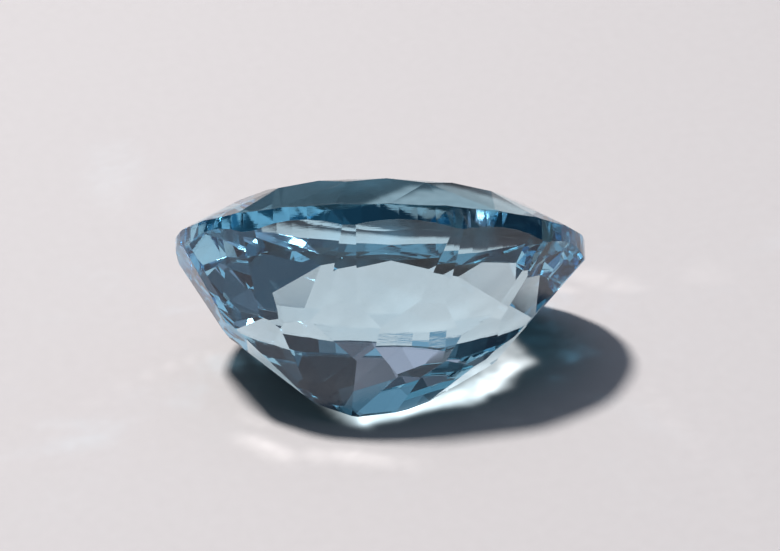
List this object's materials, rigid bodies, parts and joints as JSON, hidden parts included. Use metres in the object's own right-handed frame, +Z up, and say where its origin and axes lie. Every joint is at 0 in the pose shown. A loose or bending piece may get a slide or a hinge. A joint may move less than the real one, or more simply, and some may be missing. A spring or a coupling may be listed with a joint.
{
  "type": "cut topaz gemstone",
  "caption": "Oval faceted pale blue topaz with a flat table, a narrow girdle and a pointed pavilion, lying on one pavilion facet.",
  "frame": {"origin": "on the ground, under the centre of the lying stone's bounding box", "axes": "+X along the oval's length, +Z up from the facet that the stone lies on, the table facing up and towards +Y"},
  "size_m": [0.0158, 0.0094, 0.0092],
  "materials": {
    "topaz": "polished facets, pale sky blue, see-through"
  },
  "bodies": {
    "root": {"gemstone": "topaz"}
  },
  "joints": []
}
